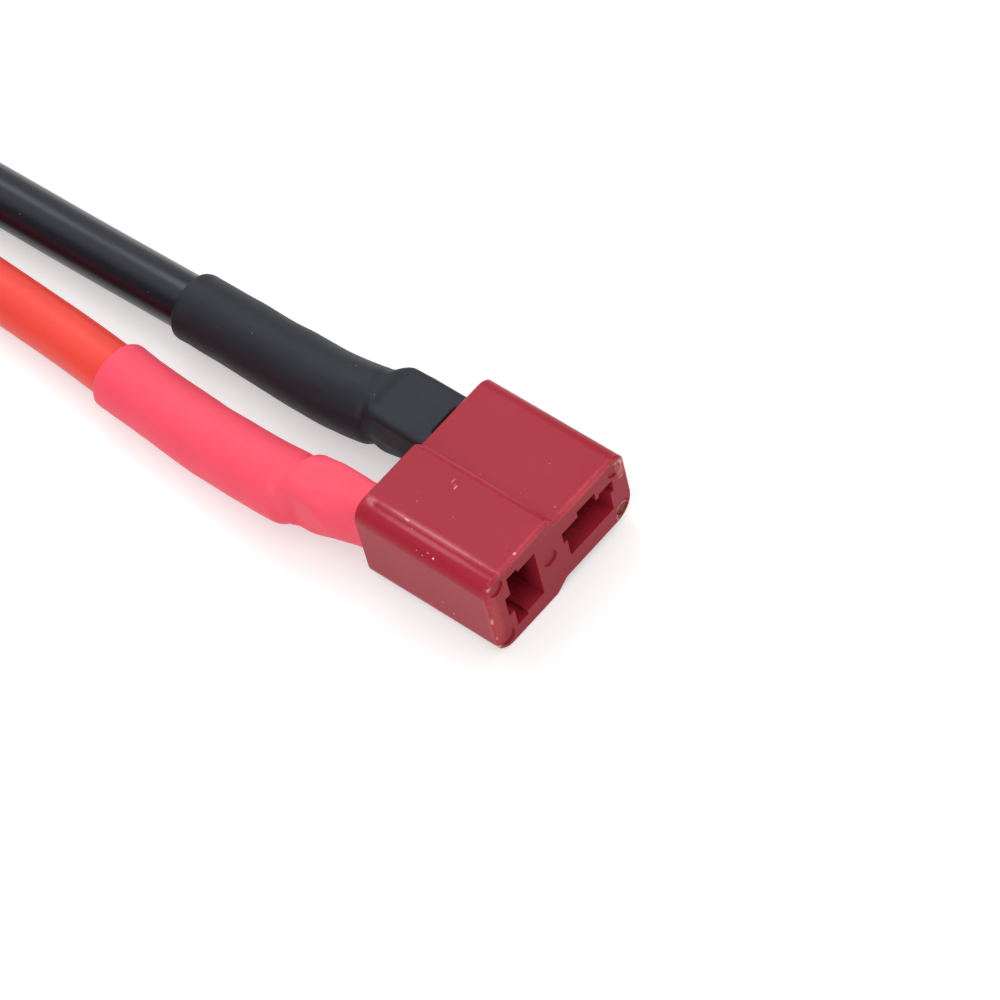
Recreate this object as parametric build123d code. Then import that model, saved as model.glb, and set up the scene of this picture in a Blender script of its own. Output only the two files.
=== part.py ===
from build123d import *
import math
import os

# A short battery extension cable: a two-blade socket and the matching plug, joined by a red
# and a black silicone lead. All sizes are in millimetres. The origin is the centre of the
# socket's mating face, +X points out of that face, +Y runs across the two openings towards
# the level one, and +Z is up. The cable lies on a level surface at THICK_HEIGHT / 2 below.

# Housings: the outline across the mating direction, the same on socket and plug
HOUSING_WIDTH = 16.0
THICK_HEIGHT = 8.6
THIN_HEIGHT = 7.1
STEP_Y = 0.0
TOP_STEP_RUN = 0.6
BOTTOM_STEP_RUN = 1.2
STEP_BLEND = 0.4
NEAR_EDGE_RADIUS = 1.5
FAR_TOP_RADIUS = 1.3
FAR_BOTTOM_RADIUS = 2.0
RIM_BREAK = 0.15
SOCKET_LENGTH = 13.1
PLUG_LENGTH = 8.5

# Moulding marks: a shallow groove along the socket's near top edge, and round ejector dishes
GROOVE_WIDTH = 0.45
GROOVE_DEPTH = 0.07
GROOVE_INSET = 1.6
GROOVE_LAND = 1.0
DISH_DIAMETER = 1.45
DISH_DEPTH = 0.14
DISH_INSET = 1.2
MIDDLE_DISH = (-1.15, 0.3)

# The two ways: the upright positive one's centre line lies this far in from the housing's near
# side, and the level negative one's this far in from its far side
UPRIGHT_INSET = 3.85
LEVEL_INSET = 4.6

# Metalwork
METAL_THICKNESS = 1.1
CONTACT_WIDTH = 5.8
BLADE_WIDTH = 5.0
TAB_WIDTH = 4.5
TAB_REACH = 6.2
TAB_CORNER = 0.6
CONTACT_RECESS = 2.2
CONTACT_LEVEL = 0.35
CONTACT_LEAD_IN = 0.3
BLADE_REACH = 8.8
BLADE_TIP_BEVEL = 0.35
TANG_WIDTH = 1.6
TANG_HEIGHT = 0.42
TANG_LENGTH = 2.2
TANG_SET_BACK = 3.6
COLLAR_DEPTH = 1.4

# Leaf springs
SPRING_THICKNESS = 0.3
SPRING_MARGIN = 0.3
SPRING_SPACE = 0.9
SPRING_FOOT = 0.8
SPRING_RECESS = 3.5
SPRING_CREST_GAP = 0.65

# Openings in the housings
FIT_GAP = 0.05
REAR_WALL = 2.5
BUMP_WIDTH = 2.1
BUMP_DEPTH = 0.6
FLASH_WIDTH = 0.35
FLASH_HEIGHT = 0.3
FLASH_DEPTH = 0.5
# Cuts run this far past the faces that they open
OVERRUN = 1.0

# Leads: stranded copper in silicone rubber, soldered to the tabs
JACKET_DIAMETER = 4.6
CONDUCTOR_DIAMETER = 2.3
STRAND_GAP = 0.06
SEAT_START = 3.0
SEAT_END = 5.8
SOLDER_SEAT = 0.05
SOLDER_HALF_WIDTH = 1.9
SOLDER_COVER = 0.1
SOLDER_START = 3.2
SOLDER_LENGTH = 3.2

# Heat-shrink sleeves
SLEEVE_WALL = 0.4
SLEEVE_GRIP = 0.03
SLEEVE_SLACK = 0.07
SLEEVE_STAND_OFF = 0.1
HUMP_MARGIN = 0.1
HUMP_MOUTH_SHARE = 0.68
TAB_SIDE_CORNER = 0.15
SOLDER_SIDE_CORNER = 1.7
# The share of the tube's radius that rounds the corners of the hump's last section
NECK_ROUNDNESS = 0.97

# Where the plug lies, with its blades pointing the same way as the socket's mating face: from
# the socket's rear face to the plug's mating face, and across
PLUG_SET_BACK = 35.4
PLUG_Y = -46.6

# Routes of the two leads between their seats on the tabs, socket end first. Each point is
# measured from the socket's rear face, from its own way's centre line, and from mid height
NEGATIVE_ROUTE = [
    (-10.3, -0.3, -1.2), (-16.9, -0.38, -1.57), (-24.4, -0.45, -1.57), (-31.4, -0.66, -1.57),
    (-39.9, -0.75, -2), (-50.9, -1, -2), (-63.9, -1.4, -2), (-76.9, -2.4, -2), (-87.9, -9, 0.6),
    (-93.2, -20.9, 3), (-91.5, -32.9, 3), (-84.8, -41.9, 0.6), (-75.8, -46.6, -1.57),
    (-67.9, -47.7, -1.57), (-60.9, -47.5, -1.57), (-54.2, -46.9, -1.45),
]
POSITIVE_ROUTE = [
    (-10.3, -2.45, -0.9), (-16.9, -2.2, -1.57), (-24.4, -1.85, -1.57), (-31.9, -1.15, -1.57),
    (-39.9, -0.6, -2), (-50.9, -0.2, -2), (-63.4, -0.35, -2), (-75.2, -0.25, -2),
    (-84.8, -4.75, -2), (-91.6, -13.75, -2), (-93.1, -25.75, -2), (-87.9, -37.55, -2),
    (-76.9, -44.75, -1.57), (-67.9, -47.05, -1.57), (-60.9, -47.75, -1.5), (-54.2, -48.05, -0.8),
]
# A corner's arc takes this share of the shorter of its two runs
CORNER_SHARE = 0.45
# The sleeves end half way along these runs of the routes, counted from each connector
SLEEVE_LAST_RUN = 4

# Derived sizes
SPRING_WIDTH = BLADE_WIDTH - 2 * SPRING_MARGIN
MAIN_LONG = BLADE_WIDTH + 2 * FIT_GAP
STRIP_LONG = CONTACT_WIDTH + 2 * FIT_GAP
CONTACT_TOP = CONTACT_LEVEL + METAL_THICKNESS
STRIP_TOP = CONTACT_TOP + FIT_GAP
BLADE_LOW = CONTACT_LEVEL - METAL_THICKNESS
HUMP_RISE = SOLDER_START - HUMP_MARGIN
HUMP_END = SOLDER_START + SOLDER_LENGTH + HUMP_MARGIN
MAIN_LOW = BLADE_LOW - SPRING_SPACE
CAVITY_DEPTH = SOCKET_LENGTH - REAR_WALL
NEAR_Y = -HOUSING_WIDTH / 2
FAR_Y = HOUSING_WIDTH / 2
PLUG_FACE_X = -SOCKET_LENGTH - PLUG_SET_BACK
WAY_Y = {"positive": NEAR_Y + UPRIGHT_INSET, "negative": FAR_Y - LEVEL_INSET}


# Each way has its own frame: its x runs along the contact's width, its y through the
# contact's thickness towards the housing's outer skin, and its z along the mating direction
def way_plane(way, x=0.0):
    """The frame of one way, with its origin on the plane at x."""
    level = way == "negative"
    return Plane(origin=(x, WAY_Y[way], 0), x_dir=(0, 1, 0) if level else (0, 0, 1), z_dir=(1, 0, 0))


def across(x):
    """A plane square to the mating direction, for the housings' outlines."""
    return Plane(origin=(x, 0, 0), x_dir=(0, 1, 0), z_dir=(1, 0, 0))


def rectangle(low_x, high_x, low_y, high_y):
    """A rectangle given by its limits."""
    centre = Pos((low_x + high_x) / 2, (low_y + high_y) / 2)
    return centre * Rectangle(high_x - low_x, high_y - low_y)


def rounded_corner(face, x, y, radius):
    """The face with its corner nearest to (x, y) rounded."""
    corner = min(face.vertices(), key=lambda v: math.hypot(v.X - x, v.Y - y))
    return fillet(corner, radius)


# Housings

def housing_outline():
    """The stepped outline: a thick half for the upright way, a thin half for the level one."""
    thick, thin = THICK_HEIGHT / 2, THIN_HEIGHT / 2
    face = make_face(Polyline(
        (NEAR_Y, -thick), (STEP_Y - BOTTOM_STEP_RUN, -thick), (STEP_Y, -thin), (FAR_Y, -thin),
        (FAR_Y, thin), (STEP_Y, thin), (STEP_Y - TOP_STEP_RUN, thick), (NEAR_Y, thick), close=True))
    corners = [
        (NEAR_Y, -thick, NEAR_EDGE_RADIUS), (NEAR_Y, thick, NEAR_EDGE_RADIUS),
        (FAR_Y, -thin, FAR_BOTTOM_RADIUS), (FAR_Y, thin, FAR_TOP_RADIUS),
        (STEP_Y - BOTTOM_STEP_RUN, -thick, STEP_BLEND), (STEP_Y, -thin, STEP_BLEND),
        (STEP_Y - TOP_STEP_RUN, thick, STEP_BLEND / 2), (STEP_Y, thin, STEP_BLEND / 2)]
    for y, z, radius in corners:
        face = rounded_corner(face, y, z, radius)
    return face


def housing_block(length):
    """The plain moulded block, its end rims broken, with its mating face at x = 0."""
    block = extrude(across(-length) * housing_outline(), length)
    ends = block.faces().sort_by(Axis.X)
    rims = ends[0].outer_wire().edges() + ends[-1].outer_wire().edges()
    return chamfer(rims, RIM_BREAK)


def opening_section():
    """A way's opening: the blade's space, the wider strip for the contact, and the tang's track."""
    main = rectangle(-MAIN_LONG / 2, MAIN_LONG / 2, MAIN_LOW, STRIP_TOP)
    strip = rectangle(-STRIP_LONG / 2, STRIP_LONG / 2, CONTACT_LEVEL - FIT_GAP, STRIP_TOP)
    track = rectangle(-BUMP_WIDTH / 2, BUMP_WIDTH / 2, 0, STRIP_TOP + BUMP_DEPTH)
    return main + strip + track


def tab_section(width, low):
    """The slit that a tab or a blade fills."""
    return rectangle(-width / 2 - FIT_GAP, width / 2 + FIT_GAP, low - FIT_GAP,
                     low + METAL_THICKNESS + FIT_GAP)


def ejector_dishes():
    """Shallow round dishes on the mating face, near its four corners and in its middle."""
    thick, thin = THICK_HEIGHT / 2, THIN_HEIGHT / 2
    places = [MIDDLE_DISH]
    places += [(NEAR_Y + DISH_INSET, side * (thick - DISH_INSET)) for side in (-1, 1)]
    places += [(FAR_Y - DISH_INSET, side * (thin - DISH_INSET)) for side in (-1, 1)]
    dishes = [across(-DISH_DEPTH) * Pos(y, z) * Circle(DISH_DIAMETER / 2) for y, z in places]
    return [extrude(dish, DISH_DEPTH + OVERRUN) for dish in dishes]


def edge_groove():
    """The shallow V groove in the top, beside the near edge, from the mating face to a plain land."""
    middle, top = NEAR_Y + GROOVE_INSET, THICK_HEIGHT / 2
    notch = make_face(Polyline(
        (middle, top - GROOVE_DEPTH), (middle + GROOVE_WIDTH, top + GROOVE_DEPTH),
        (middle - GROOVE_WIDTH, top + GROOVE_DEPTH), close=True))
    length = SOCKET_LENGTH - GROOVE_LAND
    return extrude(across(-length) * notch, length + OVERRUN)


def mouth_flash():
    """The small burr of flash that hangs into the level opening's mouth."""
    low = STRIP_TOP - FLASH_HEIGHT
    burr = rectangle(BUMP_WIDTH / 2, BUMP_WIDTH / 2 + FLASH_WIDTH, low, STRIP_TOP + FIT_GAP)
    return extrude(way_plane("negative", -FLASH_DEPTH) * burr, FLASH_DEPTH)


def socket_housing():
    """The red block with its two openings, slit through behind for the solder tabs."""
    body = housing_block(SOCKET_LENGTH)
    for way in ("positive", "negative"):
        body -= extrude(way_plane(way, -CAVITY_DEPTH) * opening_section(), CAVITY_DEPTH + OVERRUN)
        slit = tab_section(TAB_WIDTH, CONTACT_LEVEL)
        body -= extrude(way_plane(way, -SOCKET_LENGTH - OVERRUN) * slit, REAR_WALL + 2 * OVERRUN)
    for dish in ejector_dishes():
        body -= dish
    body -= edge_groove()
    return body + mouth_flash()


def plug_housing():
    """The plug's block in the mated place: blade slits right through, collar pockets behind."""
    body = mirror(housing_block(PLUG_LENGTH), Plane.YZ)
    for way in ("positive", "negative"):
        slit = tab_section(BLADE_WIDTH, BLADE_LOW)
        body -= extrude(way_plane(way, -OVERRUN) * slit, PLUG_LENGTH + 2 * OVERRUN)
        pocket = tab_section(CONTACT_WIDTH, BLADE_LOW)
        pocket_floor = way_plane(way, PLUG_LENGTH - COLLAR_DEPTH)
        body -= extrude(pocket_floor * pocket, COLLAR_DEPTH + OVERRUN)
    return body


# Metalwork, drawn in a way's own frame

def flat_bar(half_outline, low):
    """The plane of a bar's underside, and its face from (along, half width) points."""
    other_half = [(along, -half) for along, half in reversed(half_outline)]
    underside = Plane(origin=(0, low, 0), x_dir=(0, 0, 1), z_dir=(0, 1, 0))
    return underside, make_face(Polyline(*half_outline, *other_half, close=True))


def side_view(width):
    """The plane on which a piece of the given width is drawn from the side and extruded."""
    return Plane(origin=(width / 2, 0, 0), x_dir=(0, 0, 1), z_dir=(-1, 0, 0))


def tang():
    """The raised catch on the contact's back, which slides in the track."""
    front = -CONTACT_RECESS - TANG_SET_BACK
    wedge = make_face(Polyline(
        (front, CONTACT_TOP), (front - TANG_LENGTH, CONTACT_TOP),
        (front - TANG_LENGTH, CONTACT_TOP + TANG_HEIGHT), close=True))
    return extrude(side_view(TANG_WIDTH) * wedge, TANG_WIDTH)


def socket_contact():
    """The contact: a wide bar inside, a shoulder against the rear wall, and the solder tab."""
    tail = -SOCKET_LENGTH - TAB_REACH
    shoulder = -CAVITY_DEPTH + FIT_GAP
    underside, face = flat_bar([
        (tail, TAB_WIDTH / 2), (shoulder, TAB_WIDTH / 2),
        (shoulder, CONTACT_WIDTH / 2), (-CONTACT_RECESS, CONTACT_WIDTH / 2)], CONTACT_LEVEL)
    for side in (-1, 1):
        face = rounded_corner(face, tail, side * TAB_WIDTH / 2, TAB_CORNER)
        face = rounded_corner(face, -CONTACT_RECESS, side * CONTACT_WIDTH / 2, TAB_CORNER)
    bar = extrude(underside * face, METAL_THICKNESS)
    tip = bar.edges().filter_by(Axis.X).group_by(Axis.Z)[-1].sort_by(Axis.Y)[0]
    return chamfer(tip, CONTACT_LEAD_IN) + tang()


def leaf_spring():
    """A bowed strip with two flat feet; its crest presses a blade against the contact."""
    low = MAIN_LOW + FIT_GAP
    high = low + SPRING_THICKNESS
    crest = CONTACT_LEVEL - SPRING_CREST_GAP
    front, back = -SPRING_RECESS, -CAVITY_DEPTH + FIT_GAP
    first, last, middle = front - SPRING_FOOT, back + SPRING_FOOT, (front + back) / 2
    edges = [
        Line((back, low), (back, high)), Line((back, high), (last, high)),
        ThreePointArc((last, high), (middle, crest), (first, high)),
        Line((first, high), (front, high)), Line((front, high), (front, low)),
        Line((front, low), (first, low)),
        ThreePointArc((first, low), (middle, crest - SPRING_THICKNESS), (last, low)),
        Line((last, low), (back, low))]
    return extrude(side_view(SPRING_WIDTH) * make_face(edges), SPRING_WIDTH)


def plug_blade():
    """The plug's blade in its mated place: bevelled tip, collar in its pocket, solder tab."""
    tail = PLUG_LENGTH + TAB_REACH
    collar = PLUG_LENGTH - COLLAR_DEPTH + FIT_GAP
    underside, face = flat_bar([
        (-BLADE_REACH, BLADE_WIDTH / 2), (collar, BLADE_WIDTH / 2),
        (collar, CONTACT_WIDTH / 2), (PLUG_LENGTH, CONTACT_WIDTH / 2),
        (PLUG_LENGTH, TAB_WIDTH / 2), (tail, TAB_WIDTH / 2)], BLADE_LOW)
    for side in (-1, 1):
        face = rounded_corner(face, tail, side * TAB_WIDTH / 2, TAB_CORNER)
        face = rounded_corner(face, -BLADE_REACH, side * BLADE_WIDTH / 2, TAB_CORNER)
    bar = extrude(underside * face, METAL_THICKNESS)
    return chamfer(bar.edges().filter_by(Axis.X).group_by(Axis.Z)[0], BLADE_TIP_BEVEL)


# Soldered joints. Each tab has a frame behind its housing: its z runs away from the housing,
# and its y points from the tab to the conductor that is soldered on it

# How far the soldered face of each tab lies from its way's centre, on the conductor's side
SEATS = {
    ("socket", "positive"): CONTACT_TOP,
    ("socket", "negative"): -CONTACT_LEVEL,
    ("plug", "positive"): CONTACT_LEVEL,
    ("plug", "negative"): CONTACT_LEVEL,
}


def tab_frame(end, way):
    """The frame of one tab, with its origin on the housing's rear face."""
    rear = -SOCKET_LENGTH if end == "socket" else PLUG_FACE_X - PLUG_LENGTH
    middle = 0 if end == "socket" else PLUG_Y
    across_tab = (0, 1, 0) if way == "negative" else (0, 0, -1)
    return Plane(origin=(rear, middle + WAY_Y[way], 0), x_dir=across_tab, z_dir=(-1, 0, 0))


def seat_points(end, way):
    """The two route points of a conductor on its tab, the stripped end first."""
    level = SEATS[end, way] + SOLDER_SEAT + CONDUCTOR_DIAMETER / 2
    frame = tab_frame(end, way)
    return [tuple(frame.from_local_coords((0, level, along))) for along in (SEAT_START, SEAT_END)]


def solder_joint(end, way, conductor):
    """A half-round mound of solder over the conductor, on the tab's face."""
    height = SOLDER_SEAT + CONDUCTOR_DIAMETER + SOLDER_COVER
    dome = Ellipse(SOLDER_HALF_WIDTH, height) & rectangle(
        -SOLDER_HALF_WIDTH, SOLDER_HALF_WIDTH, 0, height)
    section = Pos(0, SEATS[end, way], SOLDER_START) * dome
    return extrude(tab_frame(end, way) * section, SOLDER_LENGTH) - conductor


# Leads

def corner_radii(points):
    """The largest arc that each corner of a route has room for."""
    radii = []
    for before, corner, after in zip(points, points[1:], points[2:]):
        coming = Vector(*corner) - Vector(*before)
        leaving = Vector(*after) - Vector(*corner)
        half_turn = math.radians(coming.get_angle(leaving)) / 2
        radii.append(CORNER_SHARE * min(coming.length, leaving.length) / math.tan(half_turn))
    return radii


def halfway(points, run):
    """The middle of a run, where the route is straight."""
    return tuple((Vector(*points[run]) + Vector(*points[run + 1])) / 2)


def stretch(points, first_run, last_run):
    """The route between the middles of two runs, as straight runs and tangent arcs."""
    corners = points[first_run + 1:last_run + 1]
    radii = corner_radii(points)[first_run:last_run]
    return FilletPolyline(
        halfway(points, first_run), *corners, halfway(points, last_run), radius=radii)


def square_to(path):
    """The plane square to a path at its start, with its x level."""
    direction = path % 0
    return Plane(origin=path @ 0, x_dir=(-direction.Y, direction.X, 0), z_dir=direction)


def round_bar(path, diameter):
    """A round solid along a path."""
    return sweep(square_to(path) * Circle(diameter / 2), path=path)


# Heat-shrink sleeves

def soft_rectangle(half_width, low, high, low_corner, high_corner):
    """A rectangle with rounded corners, its two lower ones and its two upper ones alike."""
    edges = []
    ring = [(half_width, low, low_corner, -90), (half_width, high, high_corner, 0),
            (-half_width, high, high_corner, 90), (-half_width, low, low_corner, 180)]
    arcs = []
    for x, y, corner, start_angle in ring:
        centre = (x - math.copysign(corner, x), y + (corner if y == low else -corner))
        arcs.append(CenterArc(centre, corner, start_angle, 90))
    for arc, following in zip(arcs, arcs[1:] + arcs[:1]):
        edges += [arc, Line(arc @ 1, following @ 0)]
    return make_face(edges)


def sleeve_skin(end, way, points, inset):
    """The sleeve's outside, or its inside where inset is the wall: a hump, then a tube."""
    frame = tab_frame(end, way)
    seat = SEATS[end, way]
    wall = SLEEVE_WALL - inset
    low = seat - METAL_THICKNESS - SLEEVE_SLACK - wall
    high = seat + SOLDER_SEAT + CONDUCTOR_DIAMETER + SOLDER_COVER + SLEEVE_SLACK + wall
    mouth = low + HUMP_MOUTH_SHARE * (high - low)
    half_width = TAB_WIDTH / 2 + SLEEVE_SLACK + wall
    sections = []
    for along, top in ((SLEEVE_STAND_OFF, mouth), (HUMP_RISE, high), (HUMP_END, high)):
        section = soft_rectangle(half_width, low, top, TAB_SIDE_CORNER + wall, SOLDER_SIDE_CORNER + wall)
        sections.append(frame * Pos(0, 0, along) * section)
    path = stretch(points, 1, SLEEVE_LAST_RUN)
    radius = JACKET_DIAMETER / 2 + SLEEVE_GRIP + wall
    neck = Plane(origin=path @ 0, x_dir=frame.x_dir, z_dir=path % 0)
    corner = NECK_ROUNDNESS * radius
    sections.append(neck * soft_rectangle(radius, -radius, radius, corner, corner))
    return loft(sections, ruled=True) + round_bar(path, 2 * radius)


def sleeve(end, way, points):
    """A sleeve shrunk over a soldered tab and the lead behind it."""
    return sleeve_skin(end, way, points, 0) - sleeve_skin(end, way, points, SLEEVE_WALL)


# Assembly

parts = {"socket_housing": socket_housing()}
plug_place = Pos(PLUG_FACE_X, PLUG_Y, 0) * Rot(0, 180, 0)
parts["plug_housing"] = plug_place * plug_housing()

for way, points in (("positive", POSITIVE_ROUTE), ("negative", NEGATIVE_ROUTE)):
    parts[f"socket_contact_{way}"] = way_plane(way) * socket_contact()
    parts[f"socket_spring_{way}"] = way_plane(way) * leaf_spring()
    parts[f"plug_blade_{way}"] = plug_place * (way_plane(way) * plug_blade())

    free = [(x - SOCKET_LENGTH, WAY_Y[way] + y, z) for x, y, z in points]
    route = seat_points("socket", way) + free + seat_points("plug", way)[::-1]
    radii = corner_radii(route)
    whole = FilletPolyline(*route, radius=radii)
    covered = stretch(route, 1, len(route) - 3)
    conductor = round_bar(whole, CONDUCTOR_DIAMETER)
    jacket = round_bar(covered, JACKET_DIAMETER) - round_bar(covered, CONDUCTOR_DIAMETER + 2 * STRAND_GAP)
    parts[f"{way}_conductor"] = conductor
    parts[f"{way}_jacket"] = jacket
    print(way, "route radii", [round(radius, 1) for radius in radii])
    print(way, "conductor length", round(whole.length, 1), "jacket length", round(covered.length, 1))
    section = math.pi * CONDUCTOR_DIAMETER ** 2 / 4
    print(way, "conductor volume", round(conductor.volume, 1), "section times length",
          round(section * whole.length, 1))

    for end, outward in (("socket", route), ("plug", route[::-1])):
        parts[f"{end}_solder_{way}"] = solder_joint(end, way, conductor)
        parts[f"{end}_sleeve_{way}"] = sleeve(end, way, outward)

os.makedirs("parts", exist_ok=True)
for name, shape in parts.items():
    export_step(shape, f"parts/{name}.step")
    print(name, round(shape.volume, 2))
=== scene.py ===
"""Looks of a short battery extension cable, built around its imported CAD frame.

A red two-blade socket and the matching plug are joined by a red and a black silicone lead, with
heat-shrink sleeves over the soldered tabs. Every length is in metres, unless its name or comment
says millimetres, and every piece lies in the frame of the CAD model: the origin is the centre of
the socket's mating face, +X points out of it and +Z is up.
"""

import logging
import math
from dataclasses import dataclass
from enum import Enum

import bmesh
import bpy
import numpy as np
from mathutils import Matrix, Quaternion, Vector, noise


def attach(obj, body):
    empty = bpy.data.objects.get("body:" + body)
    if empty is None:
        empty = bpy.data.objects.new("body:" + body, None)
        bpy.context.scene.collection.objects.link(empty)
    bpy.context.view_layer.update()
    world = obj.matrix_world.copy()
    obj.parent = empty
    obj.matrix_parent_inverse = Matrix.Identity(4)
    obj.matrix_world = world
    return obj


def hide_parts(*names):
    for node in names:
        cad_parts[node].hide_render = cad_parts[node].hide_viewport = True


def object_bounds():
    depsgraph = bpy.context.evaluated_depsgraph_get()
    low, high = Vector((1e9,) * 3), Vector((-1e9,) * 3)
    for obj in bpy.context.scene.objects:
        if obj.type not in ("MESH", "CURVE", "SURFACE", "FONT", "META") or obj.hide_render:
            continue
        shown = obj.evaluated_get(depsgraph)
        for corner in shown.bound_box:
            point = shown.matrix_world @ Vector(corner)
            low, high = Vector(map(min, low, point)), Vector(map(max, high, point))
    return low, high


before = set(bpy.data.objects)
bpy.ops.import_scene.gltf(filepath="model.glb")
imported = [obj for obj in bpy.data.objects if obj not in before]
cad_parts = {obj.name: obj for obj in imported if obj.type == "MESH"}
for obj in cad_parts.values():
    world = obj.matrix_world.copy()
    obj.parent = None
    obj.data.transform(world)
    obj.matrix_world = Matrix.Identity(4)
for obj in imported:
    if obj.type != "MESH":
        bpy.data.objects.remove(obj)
CAD_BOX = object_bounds()

LOG = logging.getLogger("cable")
MM = 0.001

# Sizes that the CAD model also has, in millimetres
FLOOR_Z = -4.3
JACKET_DIAMETER = 4.6
CONDUCTOR_DIAMETER = 2.3
SLEEVE_WALL = 0.4

# The leads' route points between their seats on the tabs, socket end first, in metres
RED_ROUTE = [
    (-0.0234, -0.0067, -0.0009), (-0.0300, -0.0065, -0.00157), (-0.0375, -0.0061, -0.00157),
    (-0.0450, -0.0054, -0.00157), (-0.0530, -0.00485, -0.0020), (-0.0640, -0.00435, -0.0020),
    (-0.0765, -0.0045, -0.0020), (-0.0883, -0.0044, -0.0020), (-0.0979, -0.0089, -0.0020),
    (-0.1047, -0.0179, -0.0020), (-0.1062, -0.0299, -0.0020), (-0.1010, -0.0417, -0.0020),
    (-0.0900, -0.0489, -0.00157), (-0.0810, -0.0512, -0.00157), (-0.0740, -0.0519, -0.0015),
    (-0.0673, -0.0522, -0.0008),
]
BLACK_ROUTE = [
    (-0.0234, 0.00260, -0.0012), (-0.0300, 0.00260, -0.00157), (-0.0375, 0.00262, -0.00157),
    (-0.0445, 0.00248, -0.00157), (-0.0530, 0.00250, -0.0020), (-0.0640, 0.0024, -0.0020),
    (-0.0770, 0.0020, -0.0020), (-0.0900, 0.0010, -0.0020), (-0.1010, -0.0056, 0.0006),
    (-0.1063, -0.0175, 0.0030), (-0.1046, -0.0295, 0.0030), (-0.0979, -0.0385, 0.0006),
    (-0.0889, -0.0432, -0.00157), (-0.0810, -0.0443, -0.00157), (-0.0740, -0.0441, -0.00157),
    (-0.0673, -0.0435, -0.00145),
]
# Each conductor's two seat points on a tab, the stripped end first, in metres
RED_SEATS = {
    "socket": [(-0.0161, -0.0068, 0.0), (-0.0189, -0.0068, 0.0)],
    "plug": [(-0.0600, -0.0523, 0.0), (-0.0628, -0.0523, 0.0)],
}
BLACK_SEATS = {
    "socket": [(-0.0161, 0.0034, -0.00085), (-0.0189, 0.0034, -0.00085)],
    "plug": [(-0.0600, -0.0432, -0.00155), (-0.0628, -0.0432, -0.00155)],
}


class Way(Enum):
    """The two ways of the connector: the upright positive one and the level negative one."""

    POSITIVE = "positive"
    NEGATIVE = "negative"


class End(Enum):
    """The two ends of the cable."""

    SOCKET = "socket"
    PLUG = "plug"


@dataclass(frozen=True)
class Finish:
    """How one moulded or extruded material looks.

    Attributes:
        name: The material's name.
        base: Main colour, sRGB hex.
        shade: Colour of its darker patches, sRGB hex.
        dust: Colour of dust and scuffs on it, sRGB hex.
        dust_amount: Share of the surface that carries specks, from 0 to 1.
        roughness: Mean roughness.
        roughness_swing: How far roughness varies about its mean.
        patch_mm: Size of the colour patches, in millimetres.
        grain_mm: Size of the surface grain, in millimetres.
        grain_height_mm: Height of the grain, in millimetres.
        subsurface: Weight of light scattering below the surface.
        specular: Specular level.
        tint: Colour of its mirrored light.
    """

    name: str
    base: str
    shade: str
    dust: str
    dust_amount: float
    roughness: float
    roughness_swing: float
    patch_mm: float
    grain_mm: float
    grain_height_mm: float
    subsurface: float = 0.0
    specular: float = 0.5
    tint: tuple[float, float, float, float] = (1.0, 1.0, 1.0, 1.0)


@dataclass(frozen=True)
class ScuffOrPaintedLight:
    """A worn, chipped or stained spot on a piece, or a patch of painted highlight or painted shade.

    Attributes:
        place_mm: Its centre in the object's frame, in millimetres.
        radius_mm: Its reach, in millimetres.
        colour: Its colour, sRGB hex.
        strength: How much of the base colour it covers, from 0 to 1.
        stretch: How much longer it is along each axis than its radius.
        ring_mm: Radius of the ring it follows, or 0 for a plain spot.
        ragged: How uneven its edge is, as a share of its reach.
    """

    place_mm: tuple[float, float, float]
    radius_mm: float
    colour: str
    strength: float
    stretch: tuple[float, float, float] = (1.0, 1.0, 1.0)
    ring_mm: float = 0.0
    ragged: float = 2.0


# The mirrored light of black rubber looks bluish in the photograph
COOL = (0.78, 0.85, 1.0, 1.0)
NYLON = Finish(
    "red_nylon", base="#A52637", shade="#9F2534", dust="#E8B4A8", dust_amount=0.06,
    roughness=0.32, roughness_swing=0.03, patch_mm=5.0, grain_mm=0.30, grain_height_mm=0.003,
    subsurface=0.04, specular=0.12)
# The softened edges' finish: its brighter red is a painted highlight, light caught along the edges, and its
# rubbed patches are wear
NYLON_EDGE_LIT_AND_WORN = Finish(
    "nylon_edge_lit_and_worn", base="#C43E4B", shade="#B63643", dust="#E8A8A4", dust_amount=0.06,
    roughness=0.36, roughness_swing=0.04, patch_mm=1.5, grain_mm=0.30, grain_height_mm=0.003,
    subsurface=0.04, specular=0.15)
RED_SILICONE = Finish(
    "red_silicone", base="#F04A3F", shade="#EA463B", dust="#FFB0A0", dust_amount=0.03,
    roughness=0.38, roughness_swing=0.03, patch_mm=6.0, grain_mm=0.5, grain_height_mm=0.003,
    subsurface=0.06, specular=0.26)
BLACK_SILICONE = Finish(
    "black_silicone", base="#16131A", shade="#141218", dust="#9AA0AA", dust_amount=0.08,
    roughness=0.26, roughness_swing=0.03, patch_mm=6.0, grain_mm=0.5, grain_height_mm=0.003,
    specular=0.38, tint=COOL)
RED_SLEEVE = Finish(
    "red_sleeve", base="#FA556C", shade="#F54E64", dust="#FFC0C0", dust_amount=0.03,
    roughness=0.50, roughness_swing=0.03, patch_mm=4.0, grain_mm=0.22, grain_height_mm=0.004,
    subsurface=0.06, specular=0.26)
BLACK_SLEEVE = Finish(
    "black_sleeve", base="#18171C", shade="#16151A", dust="#B8BCC4", dust_amount=0.10,
    roughness=0.56, roughness_swing=0.03, patch_mm=4.0, grain_mm=0.22, grain_height_mm=0.004,
    specular=0.38, tint=COOL)


def linear(colour: str) -> tuple[float, float, float, float]:
    """Turns an sRGB hex colour into linear RGBA.

    Args:
        colour: The colour as "#RRGGBB".

    Returns:
        The linear red, green, blue and an alpha of 1.
    """
    channels = [int(colour[i:i + 2], 16) / 255 for i in (1, 3, 5)]
    values = [c / 12.92 if c <= 0.04045 else ((c + 0.055) / 1.055) ** 2.4 for c in channels]
    return (values[0], values[1], values[2], 1.0)


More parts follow.
